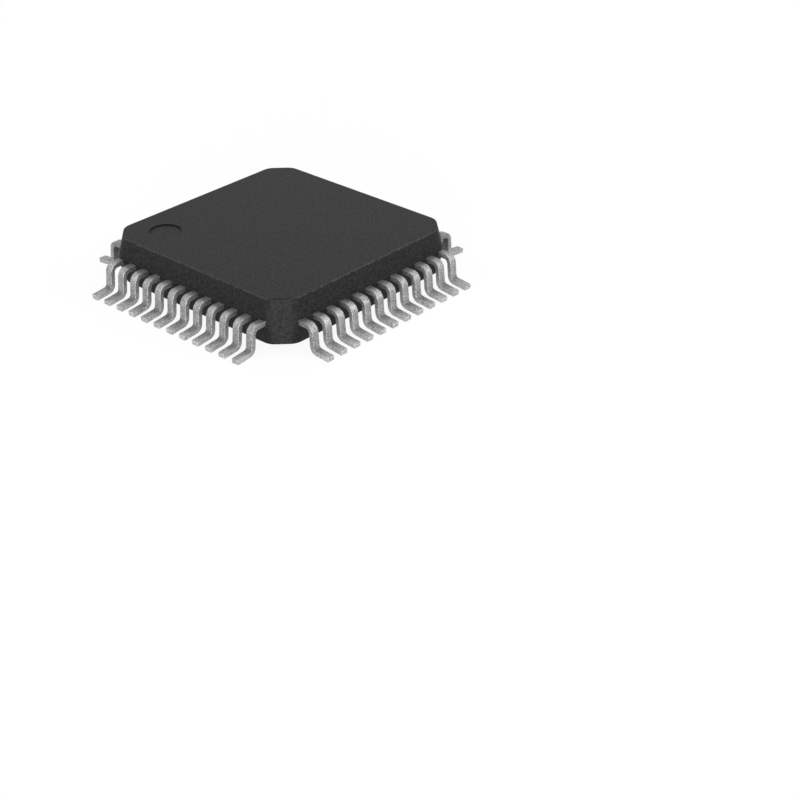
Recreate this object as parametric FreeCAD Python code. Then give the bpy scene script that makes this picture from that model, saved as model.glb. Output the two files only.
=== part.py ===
import FreeCAD, Part
import math
import os
from FreeCAD import Vector

# Surface mount chip in a square flat package: twelve gull wing leads on each of four sides.
# The origin is under the centre of the package, on the plane that the feet stand on. +Z is up.
# Pin 1 is the lead at the dimple, at -X and +Y, and the numbers run anticlockwise seen from above.

# Moulded body
parting_height = 0.80            # plane where the two mould halves meet, the middle of the lead strip
upper_half_height = 0.65         # parting plane to the top face
lower_half_height = 0.70         # parting plane to the underside
end_lead_to_side = 0.75          # centre of the last lead of a row to the side of the body
corner_cut = 0.62                # leg of the corner cuts, at the parting plane
draft_angle = 14.5               # degrees, how far the side walls of both halves lean in
corner_rounding = 0.40           # radius of the upright edges beside each corner cut
dimple_diameter = 0.90
dimple_floor_diameter = 0.84
dimple_depth = 0.05
dimple_from_side = 1.25          # centre of the dimple to the two nearest sides, at the parting plane

# Leads
leads_per_side = 12
lead_pitch = 0.50
lead_width = 0.23
strip_thickness = 0.14           # the copper strip that leads, paddle and tie bars are stamped from
lead_reach = 1.00                # side of the body at the parting plane to the end of the foot
foot_length = 0.57               # heel corner to the end of the foot, along the strip's middle
foot_slope = 6.0                 # degrees, the foot falls towards its end
leg_angle = 85.5                 # degrees from level
upper_bend_radius = 0.19         # to the middle of the strip
lower_bend_radius = 0.16         # to the middle of the strip
inner_tip_width = 0.17
inner_tip_straight = 0.30        # straight end that the wire is bonded to

# Paddle, tie bars and silicon
die_side = 2.60
die_thickness = 0.28
die_attach_thickness = 0.03
paddle_margin = 0.30             # the paddle stands out past the silicon on every side
paddle_downset = 0.20            # the paddle lies below the plane of the leads
paddle_to_leads = 0.25           # gap between the paddle and the inner ends of the leads
tie_bar_width = 0.16
tie_bar_to_leads = 0.08          # gap between a tie bar and the nearest lead
tie_bar_level = 0.10             # level stretch between the paddle's corner and the set down
tie_bar_slope = 45.0             # degrees
tie_bar_cover = 0.10             # moulding left over the end of each tie bar

# Bond wires
wire_thickness = 0.03            # the round wire is drawn square
wire_rise = 0.16                 # top of the silicon to the top of the loop
wire_from_die_edge = 0.10        # bond to the edge of the silicon
wire_from_die_corner = 0.30      # first bond of a row to the corner of the silicon
wire_bond_from_tip = 0.12        # end of the lead to the middle of the bond on it

# Sizes that follow from the ones above
row_length = (leads_per_side - 1) * lead_pitch
body_half = row_length / 2 + end_lead_to_side
paddle_half = die_side / 2 + paddle_margin
inner_tip_from_centre = paddle_half + paddle_to_leads
corner_clearance = math.sqrt(2) * (tie_bar_width / 2 + tie_bar_to_leads)
root_from_centre = row_length / 2 + lead_width / 2 + corner_clearance
inner_row_length = 2 * (inner_tip_from_centre - corner_clearance) - inner_tip_width
strip_top = parting_height + strip_thickness / 2
paddle_height = parting_height - paddle_downset
die_attach_bottom = paddle_height + strip_thickness / 2
die_bottom = die_attach_bottom + die_attach_thickness
die_top = die_bottom + die_thickness


def along(index, length):
    """Place of one of the equally spaced things in a row that is centred on zero."""
    return length * (index / (leads_per_side - 1) - 0.5)


def turned(shape, quarter_turns):
    """Copy of a shape, turned about the package's upright axis."""
    copy = shape.copy()
    copy.rotate(Vector(0, 0, 0), Vector(0, 0, 1), 90 * quarter_turns)
    return copy


def heading(angle):
    """Unit vector in the XZ plane, measured from +X towards +Z."""
    return Vector(math.cos(math.radians(angle)), 0, math.sin(math.radians(angle)))


# Moulded body

def cut_corner_outline(inset, height):
    """Level outline of the body: a square with its corners cut."""
    side = body_half - inset
    cut_distance = (2 * body_half - corner_cut) / math.sqrt(2) - inset
    near = math.sqrt(2) * cut_distance - side
    points = []
    for quarter in range(4):
        for y in (-near, near):
            point = FreeCAD.Rotation(Vector(0, 0, 1), 90 * quarter).multVec(Vector(side, y, height))
            points.append(point)
    return points


def flat_sided_solid(sections):
    """Solid with flat walls between sections that have the same number of corners."""
    faces = [Part.Face(Part.makePolygon(section + section[:1])) for section in (sections[0], sections[-1])]
    for lower, upper in zip(sections, sections[1:]):
        for i in range(len(lower)):
            wall = [lower[i - 1], lower[i], upper[i], upper[i - 1], lower[i - 1]]
            faces.append(Part.Face(Part.makePolygon(wall)))
    shell = Part.Shell(faces)
    shell.sewShape()
    solid = Part.Solid(shell)
    if solid.Volume < 0:
        solid = Part.Solid(shell.reversed())
    return solid


def mould_half(height):
    """One drafted half of the body, from the parting plane up (height > 0) or down."""
    inset = abs(height) * math.tan(math.radians(draft_angle))
    wide = cut_corner_outline(0, parting_height)
    narrow = cut_corner_outline(inset, parting_height + height)
    half = flat_sided_solid(sorted((wide, narrow), key=lambda outline: outline[0].z))
    upright = [e for e in half.Edges if abs(e.Vertexes[0].Z - e.Vertexes[1].Z) > abs(height) / 2]
    return half.makeFillet(corner_rounding, upright)


def dimple():
    """Tool for the shallow round dimple that marks pin 1, a little wider at its rim."""
    top = parting_height + upper_half_height
    place = -body_half + dimple_from_side
    floor = Vector(place, -place, top - dimple_depth)
    return Part.makeCone(dimple_floor_diameter / 2, dimple_diameter / 2, dimple_depth, floor)


def moulded_block():
    """The outside of the epoxy body, before the room for what it holds is taken out."""
    block = mould_half(upper_half_height).fuse(mould_half(-lower_half_height))
    return block.cut(dimple()).removeSplitter()


# Strip metal

def normal_of(start, end):
    """Unit normal in the XZ plane, on the left of the way from start to end."""
    way = (end - start).normalize()
    return Vector(-way.z, 0, way.x)


def strip_edge(path, radii, offset):
    """One long edge of a bent strip, at an offset from its middle, with an arc at each bend."""
    edges = []
    last = path[0] + normal_of(path[0], path[1]) * offset
    for i, radius in enumerate(radii):
        corner = path[i + 1]
        normal_before = normal_of(path[i], corner)
        normal_after = normal_of(corner, path[i + 2])
        half_turn = normal_before.getAngle(normal_after) / 2
        back = (path[i] - corner).normalize() * (radius * math.tan(half_turn))
        ahead = (path[i + 2] - corner).normalize() * (radius * math.tan(half_turn))
        if radius == 0:
            fold = corner + (normal_before + normal_after).normalize() * (offset / math.cos(half_turn))
            edges.append(Part.LineSegment(last, fold).toShape())
            last = fold
            continue
        start = corner + back + normal_before * offset
        end = corner + ahead + normal_after * offset
        centre = corner + (back + ahead).normalize() * (radius / math.cos(half_turn))
        middle = centre + (corner - centre).normalize() * (start - centre).Length
        edges.append(Part.LineSegment(last, start).toShape())
        edges.append(Part.Arc(start, middle, end).toShape())
        last = end
    end = path[-1] + normal_of(path[-2], path[-1]) * offset
    edges.append(Part.LineSegment(last, end).toShape())
    return edges


def bent_strip(path, radii, width):
    """Strip bent along a path in the XZ plane, with a bend radius for each corner, 0 for a sharp fold."""
    half = strip_thickness / 2
    edges = strip_edge(path, radii, half) + strip_edge(path, radii, -half)
    for end, reach in ((path[0], normal_of(path[0], path[1])), (path[-1], normal_of(path[-2], path[-1]))):
        edges.append(Part.LineSegment(end - reach * half, end + reach * half).toShape())
    outline = Part.Wire(Part.__sortEdges__(edges))
    strip = Part.Face(outline).extrude(Vector(0, width, 0))
    strip.translate(Vector(0, -width / 2, 0))
    return strip


def gull_wing():
    """Outer part of a lead on the +X side: shoulder, leg and foot, with its root inside the body."""
    foot = heading(-foot_slope)
    leg = heading(-leg_angle)
    furthest_corner = normal_of(Vector(0, 0, 0), foot) * (strip_thickness / 2)
    end = Vector(body_half + lead_reach - furthest_corner.x, 0, furthest_corner.z)
    heel = end - foot * foot_length
    shoulder = heel - leg * ((heel.z - parting_height) / leg.z)
    root = Vector(root_from_centre, 0, parting_height)
    return bent_strip([root, shoulder, heel, end], [upper_bend_radius, lower_bend_radius], lead_width)


def inner_lead(outer_place, inner_place):
    """Flat part of a lead inside the body on the +X side, from its root to its bonded end."""
    bend = inner_tip_from_centre + inner_tip_straight
    stations = (
        (root_from_centre, outer_place, lead_width / 2),
        (bend, inner_place, inner_tip_width / 2),
        (inner_tip_from_centre, inner_place, inner_tip_width / 2),
    )
    bottom = parting_height - strip_thickness / 2
    near_edge = [Vector(x, place - half, bottom) for x, place, half in stations]
    far_edge = [Vector(x, place + half, bottom) for x, place, half in stations]
    outline = near_edge + far_edge[::-1] + near_edge[:1]
    return Part.Face(Part.makePolygon(outline)).extrude(Vector(0, 0, strip_thickness))


def lead(index):
    """One whole lead on the +X side, counted from -Y to +Y."""
    outer_place = along(index, row_length)
    outer = gull_wing()
    outer.translate(Vector(0, outer_place, 0))
    inner = inner_lead(outer_place, along(index, inner_row_length))
    return outer.fuse(inner).removeSplitter()


def tie_bar():
    """Bar from the paddle's corner up to the plane of the leads and out towards a corner cut, along +X."""
    paddle_corner = paddle_half * math.sqrt(2)
    cut_face = (2 * body_half - corner_cut) / math.sqrt(2)
    start = Vector(paddle_corner - tie_bar_width, 0, paddle_height)
    foot = Vector(paddle_corner + tie_bar_level, 0, paddle_height)
    slope = heading(tie_bar_slope)
    head = foot + slope * (paddle_downset / slope.z)
    end = Vector(cut_face - tie_bar_cover, 0, parting_height)
    return bent_strip([start, foot, head, end], [0, 0], tie_bar_width)


def die_pad():
    """The paddle with its four tie bars, which end just inside the corner cuts of the body."""
    corner = Vector(-paddle_half, -paddle_half, paddle_height - strip_thickness / 2)
    pad = Part.makeBox(2 * paddle_half, 2 * paddle_half, strip_thickness, corner)
    bars = []
    for quarter in range(4):
        bar = tie_bar()
        bar.rotate(Vector(0, 0, 0), Vector(0, 0, 1), 45 + 90 * quarter)
        bars.append(bar)
    return pad.fuse(bars).removeSplitter()


# Silicon, adhesive and wires

def square_plate(side, bottom, thickness):
    """Level square plate centred on the package's axis."""
    return Part.makeBox(side, side, thickness, Vector(-side / 2, -side / 2, bottom))


def bond_wire(index):
    """One wire on the +X side: up from the top of the silicon, then down to the top of the lead."""
    die_place = along(index, die_side - 2 * wire_from_die_corner)
    lead_place = along(index, inner_row_length)
    die_bond = Vector(die_side / 2 - wire_from_die_edge, die_place, die_top)
    lead_bond = Vector(inner_tip_from_centre + wire_bond_from_tip, lead_place, strip_top)
    loop_top = die_bond + Vector(0, 0, wire_rise)
    level = Vector(lead_bond.x - die_bond.x, lead_bond.y - die_bond.y, 0).normalize()
    up = Vector(0, 0, 1)
    side = up.cross(level)
    fall = math.asin((loop_top.z - lead_bond.z) / (lead_bond - loop_top).Length)
    fold_across = level - up * (math.cos(fall) / (1 - math.sin(fall)))
    half = wire_thickness / 2
    corners = ((half, half), (-half, half), (-half, -half), (half, -half))
    sections = []
    for place, across in ((die_bond, level), (loop_top, fold_across), (lead_bond, level / -math.sin(fall))):
        sections.append([place + across * out + side * aside for out, aside in corners])
    return flat_sided_solid(sections)


# The whole package

def build():
    """Every piece of the package, by name."""
    block = moulded_block()
    pieces = {}
    number = 0
    # rows in the order of the pin numbers: -X, -Y, +X and +Y, each run anticlockwise seen from above
    for row in range(4):
        quarter_turns = (row + 2) % 4
        for index in range(leads_per_side):
            number += 1
            pieces[f"lead_{number:02d}"] = turned(lead(index), quarter_turns)
    pieces["die_pad"] = die_pad()
    pieces["die_attach"] = square_plate(die_side, die_attach_bottom, die_attach_thickness)
    pieces["die"] = square_plate(die_side, die_bottom, die_thickness)
    for row, letter in enumerate("abcd"):
        wires = [turned(bond_wire(index), (row + 2) % 4) for index in range(leads_per_side)]
        pieces[f"bond_wires_{letter}"] = Part.makeCompound(wires)
    pieces["package_body"] = block.cut(list(pieces.values())).removeSplitter()
    return pieces


os.makedirs("parts", exist_ok=True)
for name, shape in build().items():
    shape.exportStep(f"parts/{name}.step")
    print(name, shape.isValid(), len(shape.Solids), round(shape.Volume, 5))
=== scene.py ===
import math
import bmesh
import bpy
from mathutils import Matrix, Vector


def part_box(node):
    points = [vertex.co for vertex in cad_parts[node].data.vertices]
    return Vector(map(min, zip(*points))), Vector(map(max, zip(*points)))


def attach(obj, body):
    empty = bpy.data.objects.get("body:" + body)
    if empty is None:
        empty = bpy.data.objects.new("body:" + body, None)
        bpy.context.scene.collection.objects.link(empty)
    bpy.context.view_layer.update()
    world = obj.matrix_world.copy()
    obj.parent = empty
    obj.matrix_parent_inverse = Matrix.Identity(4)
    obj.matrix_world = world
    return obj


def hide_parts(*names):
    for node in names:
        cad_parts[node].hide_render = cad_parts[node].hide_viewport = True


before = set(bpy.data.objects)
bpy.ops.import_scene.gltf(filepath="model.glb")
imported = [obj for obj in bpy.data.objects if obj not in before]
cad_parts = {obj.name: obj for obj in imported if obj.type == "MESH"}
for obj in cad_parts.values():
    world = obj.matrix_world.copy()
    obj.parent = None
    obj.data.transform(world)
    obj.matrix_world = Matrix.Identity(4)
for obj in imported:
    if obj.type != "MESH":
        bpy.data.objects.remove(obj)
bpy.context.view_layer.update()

# Paddle and tie bars
# The square plate that carries the silicon, pressed down below the leads, one piece with the four bars
# that hold it during the moulding. It is stamped out of the same copper alloy strip as the leads, and
# stays unplated.
MM = 0.001


def linear(hex_colour):
    """Linear RGBA of an sRGB hex colour."""
    channels = []
    for i in (1, 3, 5):
        value = int(hex_colour[i:i + 2], 16) / 255
        channels.append(value / 12.92 if value <= 0.04045 else ((value + 0.055) / 1.055) ** 2.4)
    return (*channels, 1.0)


def add_node(material, kind, settings=None, links=None):
    """Adds a node, sets its properties or socket values by name, and links its inputs."""
    tree = material.node_tree
    node = tree.nodes.new(kind)
    for name, value in (settings or {}).items():
        if hasattr(node, name):
            setattr(node, name, value)
        else:
            node.inputs[name].default_value = value
    for name, source in (links or {}).items():
        tree.links.new(source, node.inputs[name])
    return node


def blank_material(name):
    """Material with no nodes in it, and its output."""
    material = bpy.data.materials.new(name)
    material.use_nodes = True
    material.node_tree.nodes.clear()
    return material, add_node(material, "ShaderNodeOutputMaterial")


# Rolled copper alloy: warm metal with fine straight lines along the rolling direction, 0.05 mm apart.
copper, copper_out = blank_material("rolled_copper_alloy")
line_pitch = 0.05 * MM
line_length = 1.0 * MM
place = add_node(copper, "ShaderNodeTexCoord")
lines = add_node(copper, "ShaderNodeMapping",
                 {"Scale": (1 / line_pitch, 1 / line_length, 1 / line_pitch)},
                 {"Vector": place.outputs["Object"]})
rolling = add_node(copper, "ShaderNodeTexNoise", {"Scale": 1.0, "Detail": 2.0},
                   {"Vector": lines.outputs["Vector"]})
tone = add_node(copper, "ShaderNodeValToRGB", None, {"Fac": rolling.outputs["Fac"]})
tone.color_ramp.elements[0].color = linear("#b87c5e")
tone.color_ramp.elements[1].color = linear("#d9a184")
bump = add_node(copper, "ShaderNodeBump", {"Strength": 0.3, "Distance": 0.001 * MM},
                {"Height": rolling.outputs["Fac"]})
shader = add_node(copper, "ShaderNodeBsdfPrincipled", {"Metallic": 1.0, "Roughness": 0.3},
                  {"Base Color": tone.outputs["Color"], "Normal": bump.outputs["Normal"]})
copper.node_tree.links.new(shader.outputs["BSDF"], copper_out.inputs["Surface"])


def keep_solid(node, finish):
    """Gives a piece that is sealed in the body, and keeps the frame's own shape, its finish."""
    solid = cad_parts[node]
    solid.data.materials.clear()
    solid.data.materials.append(finish)


keep_solid("die_pad", copper)


# Adhesive under the silicon
# A thin even layer of epoxy filled with silver flakes. It is laid wet on the paddle, pressed flat under
# the silicon, and cured there.

# Cured silver epoxy: dull pale grey with a flaky look. The flakes are drawn at 0.04 mm, coarser than the
# real 0.01 mm, so that they show.
silver, silver_out = blank_material("cured_silver_epoxy")
flake_size = 0.04 * MM
place = add_node(silver, "ShaderNodeTexCoord")
flakes = add_node(silver, "ShaderNodeTexVoronoi", {"Scale": 1 / flake_size},
                  {"Vector": place.outputs["Object"]})
tone = add_node(silver, "ShaderNodeValToRGB", None, {"Fac": flakes.outputs["Distance"]})
tone.color_ramp.elements[0].color = linear("#d2d2cf")
tone.color_ramp.elements[1].color = linear("#a5a5a0")
shader = add_node(silver, "ShaderNodeBsdfPrincipled", {"Metallic": 0.6, "Roughness": 0.55},
                  {"Base Color": tone.outputs["Color"]})
silver.node_tree.links.new(shader.outputs["BSDF"], silver_out.inputs["Surface"])

keep_solid("die_attach", silver)


# Silicon
# A square sawn out of a polished wafer of silicon, with the circuit on its top face. The adhesive holds it
# on the paddle.

# Polished silicon: dark blue grey and glossy, with the faint grid of the circuit, 0.1 mm a cell.
silicon, silicon_out = blank_material("polished_silicon")
cell_size = 0.1 * MM
place = add_node(silicon, "ShaderNodeTexCoord")
cells = add_node(silicon, "ShaderNodeTexBrick",
                 {"Scale": 1 / cell_size, "Color1": linear("#4a4e59"), "Color2": linear("#5b5f6b"),
                  "Mortar": linear("#33363f"), "Mortar Size": 0.03,
                  "Brick Width": 1.0, "Row Height": 1.0, "offset": 0.0},
                 {"Vector": place.outputs["Object"]})
shader = add_node(silicon, "ShaderNodeBsdfPrincipled", {"Metallic": 0.3, "Roughness": 0.12},
                  {"Base Color": cells.outputs["Color"]})
silicon.node_tree.links.new(shader.outputs["BSDF"], silicon_out.inputs["Surface"])

keep_solid("die", silicon)


# Bond wires
# Fine gold wires, one from the rim of the silicon to the inner end of each lead, welded at both ends
# before the moulding. Each node holds the twelve wires of one side.

# Drawn gold wire: bright yellow metal, slightly uneven from the drawing, with marks of 0.02 mm.
gold, gold_out = blank_material("drawn_gold_wire")
mark_size = 0.02 * MM
place = add_node(gold, "ShaderNodeTexCoord")
marks = add_node(gold, "ShaderNodeTexNoise", {"Scale": 1 / mark_size, "Detail": 2.0},
                 {"Vector": place.outputs["Object"]})
tone = add_node(gold, "ShaderNodeValToRGB", None, {"Fac": marks.outputs["Fac"]})
tone.color_ramp.elements[0].color = linear("#e0b85c")
tone.color_ramp.elements[1].color = linear("#f2d27c")
shader = add_node(gold, "ShaderNodeBsdfPrincipled", {"Metallic": 1.0, "Roughness": 0.2},
                  {"Base Color": tone.outputs["Color"]})
gold.node_tree.links.new(shader.outputs["BSDF"], gold_out.inputs["Surface"])

for side in "abcd":
    keep_solid(f"bond_wires_{side}", gold)


# Moulded body
# One block of black epoxy, filled with fine silica and moulded round the leads in a two part tool.
# Both halves have draft, so the sides lean in from the parting line at the middle of the leads.
body_low, body_high = (Vector(corner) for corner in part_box("package_body"))
body_half = body_high.x
parting_height = 0.80 * MM
corner_cut = 0.62 * MM
draft = math.radians(14.5)
upright_rounding = 0.40 * MM
rim_rounding = 0.065 * MM
flash_width = 0.012 * MM
flash_reach = 0.004 * MM
flat_margin = 0.03 * MM
wall_rings = (0.04, 0.5, 0.96)
arc_steps = 6
dimple_centre = Vector((-2.25, 2.25)) * MM
dimple_radius = 0.45 * MM
dimple_floor_radius = 0.42 * MM
dimple_depth = 0.04 * MM
dimple_edge = 0.009 * MM
dimple_steps = 72
# Tones, as shares of the plain colour, paint light and shade into the compound: a painted highlight on
# the rounded rims, painted shade on the walls, most of all on the lower half, where the leads shade it,
# painted light on the cut corners of that half, where light from the front lamp and the table falls, and
# painted shade on the wall of the dimple.
plain = 1.0
painted_rim_highlight = 1.5
upper_wall_painted_shade = 0.92
lower_wall_painted_shade = 0.5
painted_corner_light = 1.55
dimple_painted_shade = 0.1


def outline(inset, height, tone):
    """Level ring round the body: a square with cut corners, each new corner rounded by a short arc.

    The fourth value of a point is its tone. On the way round to a cut corner it turns to the corner's own.
    """
    side = body_half - inset
    # where the flat side meets the cut corner, and how far back from there the arc begins
    side_end = 2 * body_half - corner_cut - math.sqrt(2) * inset - side
    arc_back = upright_rounding * math.tan(math.radians(22.5))
    # the cut corners of the lower half are painted lighter, where light from the front lamp and the table
    # falls
    corner_tone = painted_corner_light if height < parting_height else plain
    ring = []
    for quarter in range(4):
        swing = math.radians(90 * quarter)
        for turn in (-1, 1):
            centre_y = turn * (side_end - arc_back)
            for step in range(arc_steps + 1):
                share = (arc_steps - step if turn < 0 else step) / arc_steps
                angle = turn * math.radians(45) * share
                x = side - upright_rounding + upright_rounding * math.cos(angle)
                y = centre_y + upright_rounding * math.sin(angle)
                ring.append((
                    x * math.cos(swing) - y * math.sin(swing),
                    x * math.sin(swing) + y * math.cos(swing),
                    height,
                    tone + (corner_tone - tone) * share ** 2,
                ))
    return ring


def half_profile(height):
    """Inset, height and tone of each ring of one mould half, from the parting line to the flat face.

    The last ring lies a little way in on the flat face, which keeps the shading of the face flat.
    """
    sign = 1 if height > parting_height else -1
    rise = abs(height - parting_height)
    wall_top = rise - rim_rounding + rim_rounding * math.sin(draft)
    centre = wall_top * math.tan(draft) + rim_rounding * math.cos(draft)
    # the walls get painted shade, the lower half the most, where the leads shade it
    wall_tone = upper_wall_painted_shade if sign > 0 else lower_wall_painted_shade
    rings = [(-flash_reach, 0.0, plain), (-flash_reach, flash_width / 2, plain)]
    rings.append((flash_width * math.tan(draft), flash_width, wall_tone))
    for part in wall_rings:
        rings.append((part * wall_top * math.tan(draft), part * wall_top, wall_tone))
    for step in range(arc_steps + 1):
        share = step / arc_steps
        angle = draft + (math.pi / 2 - draft) * share
        inset = centre - rim_rounding * math.cos(angle)
        up = rise - rim_rounding + rim_rounding * math.sin(angle)
        # the rounded rim gets a painted highlight
        rings.append((inset, up, plain + painted_rim_highlight * math.sin(math.pi * share)))
    rings.append((centre + flat_margin, rise, plain))
    return [(inset, parting_height + sign * up, tone) for inset, up, tone in rings]


def add_ring(mesh, points):
    """Vertices at the points, each with its tone of painted light and shade."""
    tone = mesh.verts.layers.float["painted_light_tone"]
    ring = []
    for *place, shade in points:
        vertex = mesh.verts.new(place)
        vertex[tone] = shade
        ring.append(vertex)
    return ring


def join_rings(mesh, lower, upper):
    """Quads between two rings with the same number of vertices."""
    for i in range(len(lower)):
        mesh.faces.new((lower[i - 1], lower[i], upper[i], upper[i - 1]))


def moulded_body():
    """Closed mesh of the outside of the body, with the dimple in its top face."""
    mesh = bmesh.new()
    mesh.verts.layers.float.new("painted_light_tone")
    upper = [add_ring(mesh, outline(*ring)) for ring in half_profile(body_high.z)]
    lower = [upper[0]] + [add_ring(mesh, outline(*ring)) for ring in half_profile(body_low.z)[1:]]
    for rings in (upper, lower):
        for below, above in zip(rings, rings[1:]):
            join_rings(mesh, below, above)
    mesh.faces.new(lower[-1])
    dimple_rings = []
    profile = [
        (dimple_radius + flat_margin, 0.0),
        (dimple_radius + dimple_edge, 0.0),
        (dimple_radius + dimple_edge * 0.2, -dimple_edge * 0.3),
        (dimple_radius - dimple_edge * 0.6, -dimple_edge),
        (dimple_floor_radius + dimple_edge * 0.6, -dimple_depth + dimple_edge),
        (dimple_floor_radius - dimple_edge * 0.2, -dimple_depth + dimple_edge * 0.3),
        (dimple_floor_radius - dimple_edge, -dimple_depth),
        (dimple_floor_radius - dimple_edge - flat_margin, -dimple_depth),
    ]
    for radius, drop in profile:
        # the wall of the dimple gets painted shade
        tone = dimple_painted_shade if -dimple_depth < drop < 0 else plain
        ring = []
        for i in range(dimple_steps):
            angle = 2 * math.pi * i / dimple_steps
            x = dimple_centre.x + radius * math.cos(angle)
            y = dimple_centre.y + radius * math.sin(angle)
            ring.append((x, y, body_high.z + drop, tone))
        dimple_rings.append(add_ring(mesh, ring))
    for outer, inner in zip(dimple_rings, dimple_rings[1:]):
        join_rings(mesh, outer, inner)
    mesh.faces.new(dimple_rings[-1])
    # the top face lies between the rim of the body and the rim of the dimple
    top_edges = []
    for ring in (upper[-1], dimple_rings[0]):
        top_edges += [mesh.edges.get((ring[i - 1], ring[i])) for i in range(len(ring))]
    bmesh.ops.triangle_fill(mesh, edges=top_edges, use_beauty=True)
    bmesh.ops.recalc_face_normals(mesh, faces=mesh.faces)
    return mesh


def finished_object(name, mesh, material):
    """Object made of a finished bmesh, smooth shaded with the flat faces kept flat."""
    data = bpy.data.meshes.new(name)
    mesh.to_mesh(data)
    mesh.free()
    for face in data.polygons:
        face.use_smooth = True
    data.materials.append(material)
    thing = bpy.data.objects.new(name, data)
    bpy.context.collection.objects.link(thing)
    weighted = thing.modifiers.new("weighted normals", "WEIGHTED_NORMAL")
    weighted.mode = "FACE_AREA"
    weighted.weight = 100
    return thing


# Black moulding compound: epoxy with silica filler, taken from an eroded mould. The eye sees a dull
# charcoal with a very fine, even grain and no gloss. The grain is drawn at 0.06 mm, coarser than the
# real 0.02 mm, so that it shows.
compound, compound_out = blank_material("black_moulding_compound")
grain_size = 0.06 * MM
place = add_node(compound, "ShaderNodeTexCoord")
grain = add_node(compound, "ShaderNodeTexNoise",
                 {"Scale": 1 / grain_size, "Detail": 3.0, "Roughness": 0.6},
                 {"Vector": place.outputs["Object"]})
tone = add_node(compound, "ShaderNodeValToRGB", None, {"Fac": grain.outputs["Fac"]})
tone.color_ramp.elements[0].position = 0.3
tone.color_ramp.elements[0].color = linear("#101010")
tone.color_ramp.elements[1].position = 0.7
tone.color_ramp.elements[1].color = linear("#2d2d2d")
bump = add_node(compound, "ShaderNodeBump", {"Strength": 0.5, "Distance": 0.003 * MM},
                {"Height": grain.outputs["Fac"]})
# each vertex's tone of painted light and shade scales the compound's colour
wall = add_node(compound, "ShaderNodeAttribute", {"attribute_name": "painted_light_tone"})
shade = add_node(compound, "ShaderNodeVectorMath", {"operation": "SCALE"},
                 {"Vector": tone.outputs["Color"], "Scale": wall.outputs["Fac"]})
shader = add_node(compound, "ShaderNodeBsdfPrincipled",
                  {"Roughness": 0.55, "IOR": 1.5, "Specular IOR Level": 0.1},
                  {"Base Color": shade.outputs["Vector"], "Normal": bump.outputs["Normal"]})
compound.node_tree.links.new(shader.outputs["BSDF"], compound_out.inputs["Surface"])

body = finished_object("moulded_body", moulded_body(), compound)
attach(body, "root")
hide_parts("package_body")


# Leads
# Forty eight strips of copper alloy, stamped and bent to a gull wing after moulding and plated with
# matte tin. The inner end of each runs on inside the body, fanned in towards the silicon.
lead_low, lead_high = (Vector(corner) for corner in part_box("lead_30"))
foot_end = lead_high.x
leads_per_side = 12
lead_pitch = 0.50 * MM
strip_thickness = 0.14 * MM
lead_width = 0.23 * MM
foot_length = 0.57 * MM
foot_slope = math.radians(6.0)
leg_angle = math.radians(85.5)
upper_bend = 0.19 * MM
lower_bend = 0.16 * MM
bend_steps = 10
inner_tip_width = 0.17 * MM
inner_tip_straight = 0.30 * MM
elbow_past_row = 0.226 * MM
edge_rounding = 0.018 * MM
end_rounding = 0.011 * MM
end_steps = 3
tip_span = 2 * (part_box("lead_36")[1][1] - inner_tip_width / 2)
# How much lighter or darker than the plain tin the outer face, the narrow sides and the inner face are
# painted at each place, as light and shade: painted shade next to the body and on the inner face, which
# the body shades, painted shade on the top of the foot, darkest at the heel, painted light on the narrow
# sides towards the tip, a painted highlight on the bend and painted shade in the heel. The cut end is
# brighter, where the sheared metal is lighter and a painted reflection of the table lies on it.
plain_tin = (0.0, 0.0, 0.0)
at_wall = (-0.42, -0.36, -0.65)
on_shoulder = (-0.24, -0.18, -0.65)
on_leg = (0.03, -0.05, -0.60)
on_foot = (-0.27, 0.18, 0.0)
by_tip = (0.0, 0.26, 0.0)
at_tip = (0.42, 0.42, 0.42)
painted_bend_highlight = (0.20, 0.0, 0.0)
painted_heel_shade = (-0.32, 0.0, 0.0)


def lead_stations(outer_place, inner_place):
    """Centre, slope, half width and three tones of each section of a +X lead, from its inner end."""
    tip_start = lead_low.x
    elbow = lead_pitch * (leads_per_side - 1) / 2 + lead_width / 2 + elbow_past_row
    corner_drop = Vector((-math.sin(foot_slope), 0, math.cos(foot_slope))) * (strip_thickness / 2)
    end = Vector((foot_end - abs(corner_drop.x), 0, corner_drop.z))
    foot_way = Vector((math.cos(foot_slope), 0, -math.sin(foot_slope)))
    leg_way = Vector((math.cos(leg_angle), 0, -math.sin(leg_angle)))
    heel = end - foot_way * foot_length
    shoulder = heel - leg_way * ((heel.z - parting_height) / leg_way.z)
    half, inner_half = lead_width / 2, inner_tip_width / 2
    level = [(tip_start, inner_place, inner_half, plain_tin)]
    level.append((tip_start + inner_tip_straight, inner_place, inner_half, plain_tin))
    level.append((elbow, outer_place, half, plain_tin))
    level.append((body_half - strip_thickness, outer_place, half, at_wall))
    level.append((body_half + strip_thickness / 4, outer_place, half, at_wall))
    stations = [(x, place, parting_height, 0.0, width, tones) for x, place, width, tones in level]
    # the bend at the shoulder gets a painted highlight, the heel painted shade
    for corner, radius, before, after, tone_before, tone_after, peak in (
        (shoulder, upper_bend, 0.0, leg_angle, on_shoulder, on_leg, painted_bend_highlight),
        (heel, lower_bend, leg_angle, foot_slope, on_leg, on_foot, painted_heel_shade),
    ):
        turn = after - before
        way = Vector((math.cos(before), 0, -math.sin(before)))
        start = corner - way * radius * math.tan(abs(turn) / 2)
        side = -1 if turn > 0 else 1
        centre = start + Vector((math.sin(before), 0, math.cos(before))) * radius * side
        for step in range(bend_steps + 1):
            share = step / bend_steps
            angle = before + turn * share
            spot = centre - Vector((math.sin(angle), 0, math.cos(angle))) * radius * side
            tones = tuple(
                a + (b - a) * share + c * math.sin(math.pi * share)
                for a, b, c in zip(tone_before, tone_after, peak)
            )
            stations.append((spot.x, outer_place, spot.z, angle, half, tones))
    stations.append((end.x, outer_place, end.z, foot_slope, half, by_tip))
    return stations


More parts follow.
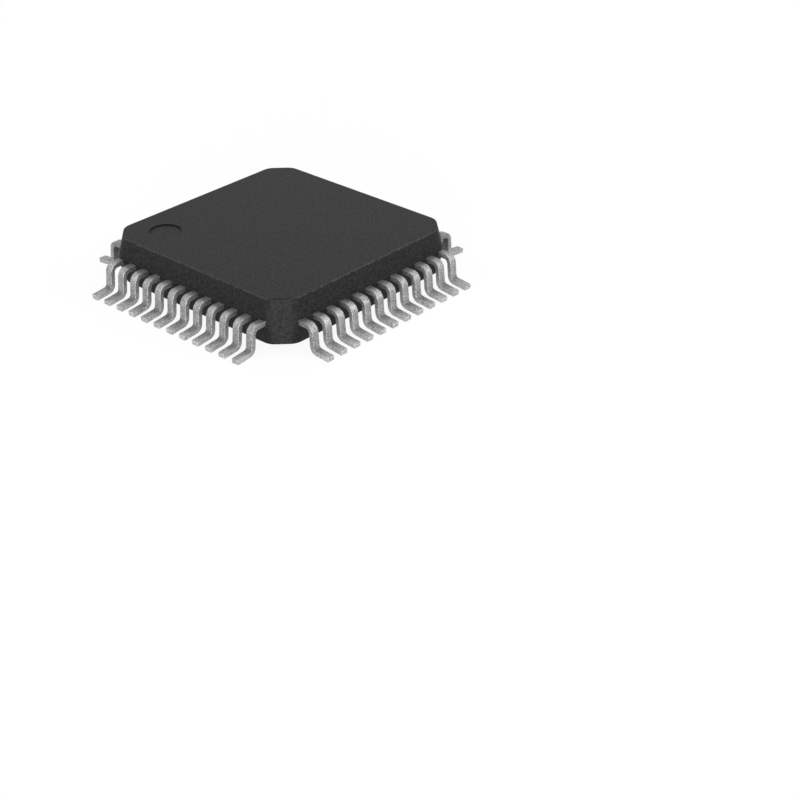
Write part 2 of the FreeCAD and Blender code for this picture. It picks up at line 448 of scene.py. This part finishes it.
def section(station, shrink):
    """Rounded rectangle across the strip at one station, drawn in by shrink on every side."""
    x, place, z, slope, half_width, (outer_tone, side_tone, inner_tone) = station
    across = half_width - shrink
    up = strip_thickness / 2 - shrink
    radius = edge_rounding
    ring = []
    for corner, (sign_across, sign_up) in enumerate(((1, 1), (-1, 1), (-1, -1), (1, -1))):
        for step in range(4):
            angle = math.radians(90 * corner + 30 * step)
            out = sign_across * (across - radius) + radius * math.cos(angle)
            rise = sign_up * (up - radius) + radius * math.sin(angle)
            face_tone = outer_tone if sign_up > 0 else inner_tone
            # the painted light and shade of the three faces blend round the edges
            tone = 1 + side_tone + (face_tone - side_tone) * math.sin(angle) ** 2
            ring.append((x + rise * math.sin(slope), place + out, z + rise * math.cos(slope), tone))
    return ring


def lead_mesh(outer_place, inner_place, quarter_turns):
    """One lead, turned to its side of the body."""
    stations = lead_stations(outer_place, inner_place)
    sections = []
    first, last = stations[0], stations[-1]
    way = (math.cos(foot_slope), -math.sin(foot_slope))
    for step in range(end_steps + 1):
        angle = math.radians(90 * step / end_steps)
        shrink = end_rounding * (1 - math.sin(angle))
        inwards = end_rounding * (1 - math.cos(angle))
        sections.append(section((first[0] + inwards, *first[1:]), shrink))
    for station in stations[1:-1]:
        sections.append(section(station, 0.0))
    for step in range(end_steps + 1):
        angle = math.radians(90 - 90 * step / end_steps)
        shrink = end_rounding * (1 - math.sin(angle))
        inwards = end_rounding * (1 - math.cos(angle))
        x = last[0] - way[0] * inwards
        z = last[2] - way[1] * inwards
        tones = at_tip if step else by_tip
        sections.append(section((x, last[1], z, last[3], last[4], tones), shrink))
    swing = math.radians(90 * quarter_turns)
    mesh = bmesh.new()
    mesh.verts.layers.float.new("painted_light_tone")
    rings = []
    for ring in sections:
        rings.append(add_ring(mesh, [
            (x * math.cos(swing) - y * math.sin(swing), x * math.sin(swing) + y * math.cos(swing), z, tone)
            for x, y, z, tone in ring
        ]))
    for before, after in zip(rings, rings[1:]):
        join_rings(mesh, before, after)
    mesh.faces.new(rings[0])
    mesh.faces.new(rings[-1])
    bmesh.ops.recalc_face_normals(mesh, faces=mesh.faces)
    return mesh


# Matte tin plate on copper alloy: soft grey metal with a fine crystalline mottle and no mirror
# reflections. The crystals are drawn at 0.035 mm, coarser than the real 0.005 mm, so that they show, and
# faint stains of 0.25 mm lie over them.
tin, tin_out = blank_material("matte_tin_plate")
crystal_size = 0.035 * MM
stain_size = 0.25 * MM
place = add_node(tin, "ShaderNodeTexCoord")
crystals = add_node(tin, "ShaderNodeTexNoise",
                    {"Scale": 1 / crystal_size, "Detail": 2.0, "Roughness": 0.6},
                    {"Vector": place.outputs["Object"]})
stains = add_node(tin, "ShaderNodeTexNoise", {"Scale": 1 / stain_size, "Detail": 3.0},
                  {"Vector": place.outputs["Object"]})
mottle = add_node(tin, "ShaderNodeMix", {"Factor": 0.25})
tin.node_tree.links.new(crystals.outputs["Fac"], mottle.inputs["A"])
tin.node_tree.links.new(stains.outputs["Fac"], mottle.inputs["B"])
tin_tone = add_node(tin, "ShaderNodeValToRGB", None, {"Fac": mottle.outputs["Result"]})
tin_tone.color_ramp.elements[0].position = 0.36
tin_tone.color_ramp.elements[0].color = linear("#757574")
tin_tone.color_ramp.elements[1].position = 0.64
tin_tone.color_ramp.elements[1].color = linear("#bababa")
bump = add_node(tin, "ShaderNodeBump", {"Strength": 0.4, "Distance": 0.004 * MM},
                {"Height": crystals.outputs["Fac"]})
# each vertex's tone of painted light and shade scales the tin's colour; at the cut end it also holds the
# lighter sheared metal
lead_painted_light = add_node(tin, "ShaderNodeAttribute", {"attribute_name": "painted_light_tone"})
shade = add_node(tin, "ShaderNodeVectorMath", {"operation": "SCALE"},
                 {"Vector": tin_tone.outputs["Color"], "Scale": lead_painted_light.outputs["Fac"]})
shader = add_node(tin, "ShaderNodeBsdfPrincipled",
                  {"Metallic": 1.0, "Roughness": 0.58},
                  {"Base Color": shade.outputs["Vector"], "Normal": bump.outputs["Normal"]})
tin.node_tree.links.new(shader.outputs["BSDF"], tin_out.inputs["Surface"])

number = 0
for row in range(4):
    for index in range(leads_per_side):
        number += 1
        share = index / (leads_per_side - 1) - 0.5
        outer_place = share * lead_pitch * (leads_per_side - 1)
        inner_place = share * tip_span
        mesh = lead_mesh(outer_place, inner_place, row + 2)
        lead = finished_object(f"tin_lead_{number:02d}", mesh, tin)
        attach(lead, "root")
        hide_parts(f"lead_{number:02d}")


# Table
# A plain sheet of white paper that the feet stand on. It looks pure white to the camera and in the
# metal, apart from a faint share of the shadow that falls on it.
table, table_out = blank_material("white_table")
kept_shadow = 0.09
paper = add_node(table, "ShaderNodeBsdfDiffuse", {"Color": linear("#ffffff")})
glow = add_node(table, "ShaderNodeEmission", {"Color": linear("#ffffff"), "Strength": 1.0})
rays = add_node(table, "ShaderNodeLightPath")
seen = add_node(table, "ShaderNodeMath", {"operation": "MAXIMUM"})
table.node_tree.links.new(rays.outputs["Is Camera Ray"], seen.inputs[0])
table.node_tree.links.new(rays.outputs["Is Glossy Ray"], seen.inputs[1])
share = add_node(table, "ShaderNodeMapRange", {"To Max": 1 - kept_shadow},
                 {"Value": seen.outputs["Value"]})
blend = add_node(table, "ShaderNodeMixShader", None, {"Fac": share.outputs["Result"]})
table.node_tree.links.new(paper.outputs["BSDF"], blend.inputs[1])
table.node_tree.links.new(glow.outputs["Emission"], blend.inputs[2])
table.node_tree.links.new(blend.outputs["Shader"], table_out.inputs["Surface"])
floor_mesh = bmesh.new()
floor_half = 1.5
floor_gap = 0.002 * MM
bmesh.ops.create_grid(floor_mesh, x_segments=1, y_segments=1, size=floor_half)
floor_data = bpy.data.meshes.new("floor")
floor_mesh.to_mesh(floor_data)
floor_mesh.free()
floor_data.materials.append(table)
floor = bpy.data.objects.new("floor", floor_data)
floor.location.z = -floor_gap
bpy.context.collection.objects.link(floor)


# Camera
# Looks down on the near corner from about thirty degrees above the table, as a product photograph
# of a chip does. The aim point lies beside the chip, which so sits in the upper left of the picture.
camera_azimuth = math.radians(-48.5)
camera_elevation = math.radians(30.15)
camera_distance = 43.52 * MM
camera_lens = 79.32
aim_point = Vector((-3.062, -7.122, 0.006)) * MM

towards_camera = Vector((
    math.sin(camera_azimuth) * math.cos(camera_elevation),
    -math.cos(camera_azimuth) * math.cos(camera_elevation),
    math.sin(camera_elevation),
))
camera_data = bpy.data.cameras.new("camera")
camera_data.lens = camera_lens
camera_data.sensor_width = 36.0
camera_data.clip_start = 1.0 * MM
camera_data.clip_end = 10.0
camera = bpy.data.objects.new("camera", camera_data)
camera.location = aim_point + towards_camera * camera_distance
camera.rotation_euler = towards_camera.to_track_quat("Z", "Y").to_euler()
bpy.context.collection.objects.link(camera)
bpy.context.scene.camera = camera


# Room and lamps
# A white room, dimmed where it lights the chip, and five large soft lamps. The strongest stands low behind
# the camera, so the leads are lit in front and the top is only grazed. The one on the right puts the light
# on the bends of the right hand row, and the others keep the top and the far sides from going black.
room = bpy.data.worlds.new("soft_room")
bpy.context.scene.world = room
room.use_nodes = True
room.node_tree.nodes.clear()
room_out = add_node(room, "ShaderNodeOutputWorld")
sky = add_node(room, "ShaderNodeBackground", {"Color": linear("#ffffff")})
rays = add_node(room, "ShaderNodeLightPath")
seen = add_node(room, "ShaderNodeMath", {"operation": "MAXIMUM"})
room.node_tree.links.new(rays.outputs["Is Camera Ray"], seen.inputs[0])
room.node_tree.links.new(rays.outputs["Is Glossy Ray"], seen.inputs[1])
room_light = 0.6
strength = add_node(room, "ShaderNodeMapRange", {"To Min": room_light, "To Max": 1.0},
                    {"Value": seen.outputs["Value"]})
room.node_tree.links.new(strength.outputs["Result"], sky.inputs["Strength"])
room.node_tree.links.new(sky.outputs["Background"], room_out.inputs["Surface"])


def soft_lamp(name, azimuth, elevation, distance, size, level):
    """Square lamp aimed at the chip. Level is the brightness that it gives a white sheet facing it."""
    way = Vector((
        math.sin(math.radians(azimuth)) * math.cos(math.radians(elevation)),
        -math.cos(math.radians(azimuth)) * math.cos(math.radians(elevation)),
        math.sin(math.radians(elevation)),
    ))
    data = bpy.data.lights.new(name, "AREA")
    data.size = size
    data.energy = level * math.pi ** 2 * distance ** 2
    lamp = bpy.data.objects.new(name, data)
    lamp.location = way * distance
    lamp.rotation_euler = way.to_track_quat("Z", "Y").to_euler()
    bpy.context.collection.objects.link(lamp)
    return lamp


soft_lamp("lamp_front", -51, 8, 300 * MM, 130 * MM, 1.04)
soft_lamp("lamp_right", 40, 35, 300 * MM, 130 * MM, 0.23)
soft_lamp("lamp_left", -135, 40, 300 * MM, 130 * MM, 0.03)
soft_lamp("lamp_above", 0, 90, 300 * MM, 200 * MM, 0.12)
soft_lamp("lamp_rear", 130, 40, 300 * MM, 130 * MM, 0.08)

bpy.context.scene.view_settings.view_transform = "Standard"
